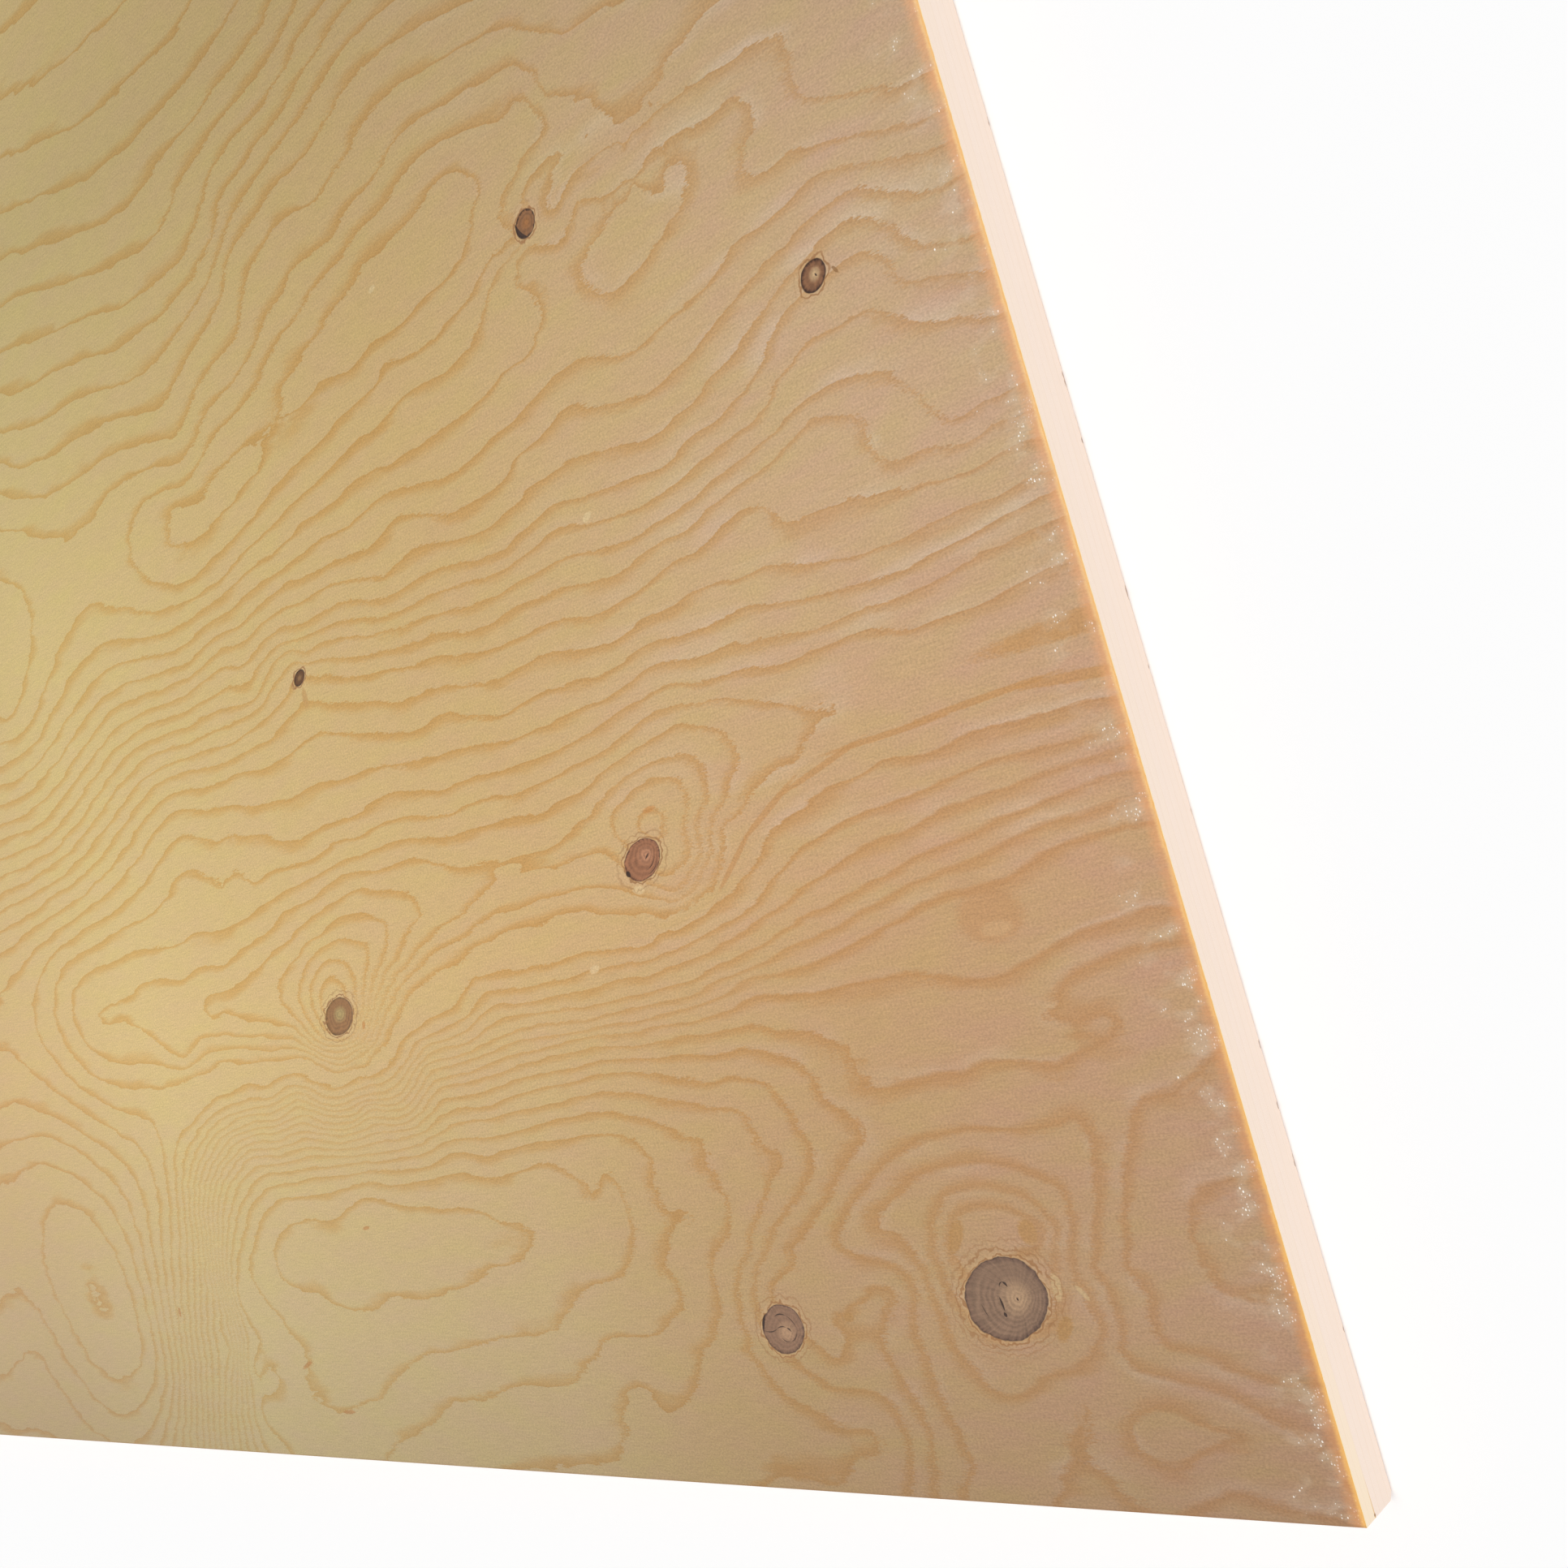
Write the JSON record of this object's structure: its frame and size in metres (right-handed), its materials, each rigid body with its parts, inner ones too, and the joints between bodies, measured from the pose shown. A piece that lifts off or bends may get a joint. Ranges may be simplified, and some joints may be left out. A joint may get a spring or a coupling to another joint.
{
  "type": "plywood sheet",
  "caption": "Full rectangular sheet of softwood plywood with square-sawn edges, a knotty rotary-cut face and a small knocked-off back corner.",
  "frame": {"origin": "middle of the back face, on the plane that the sheet rests on", "axes": "+X along the length and the face grain, +Y across the width, +Z out of the good face"},
  "size_m": [2.44, 1.22, 0.018],
  "materials": {
    "softwood_plywood": "sanded bare softwood veneer, matt"
  },
  "bodies": {
    "root": {"plywood_sheet": "softwood_plywood"}
  },
  "joints": []
}
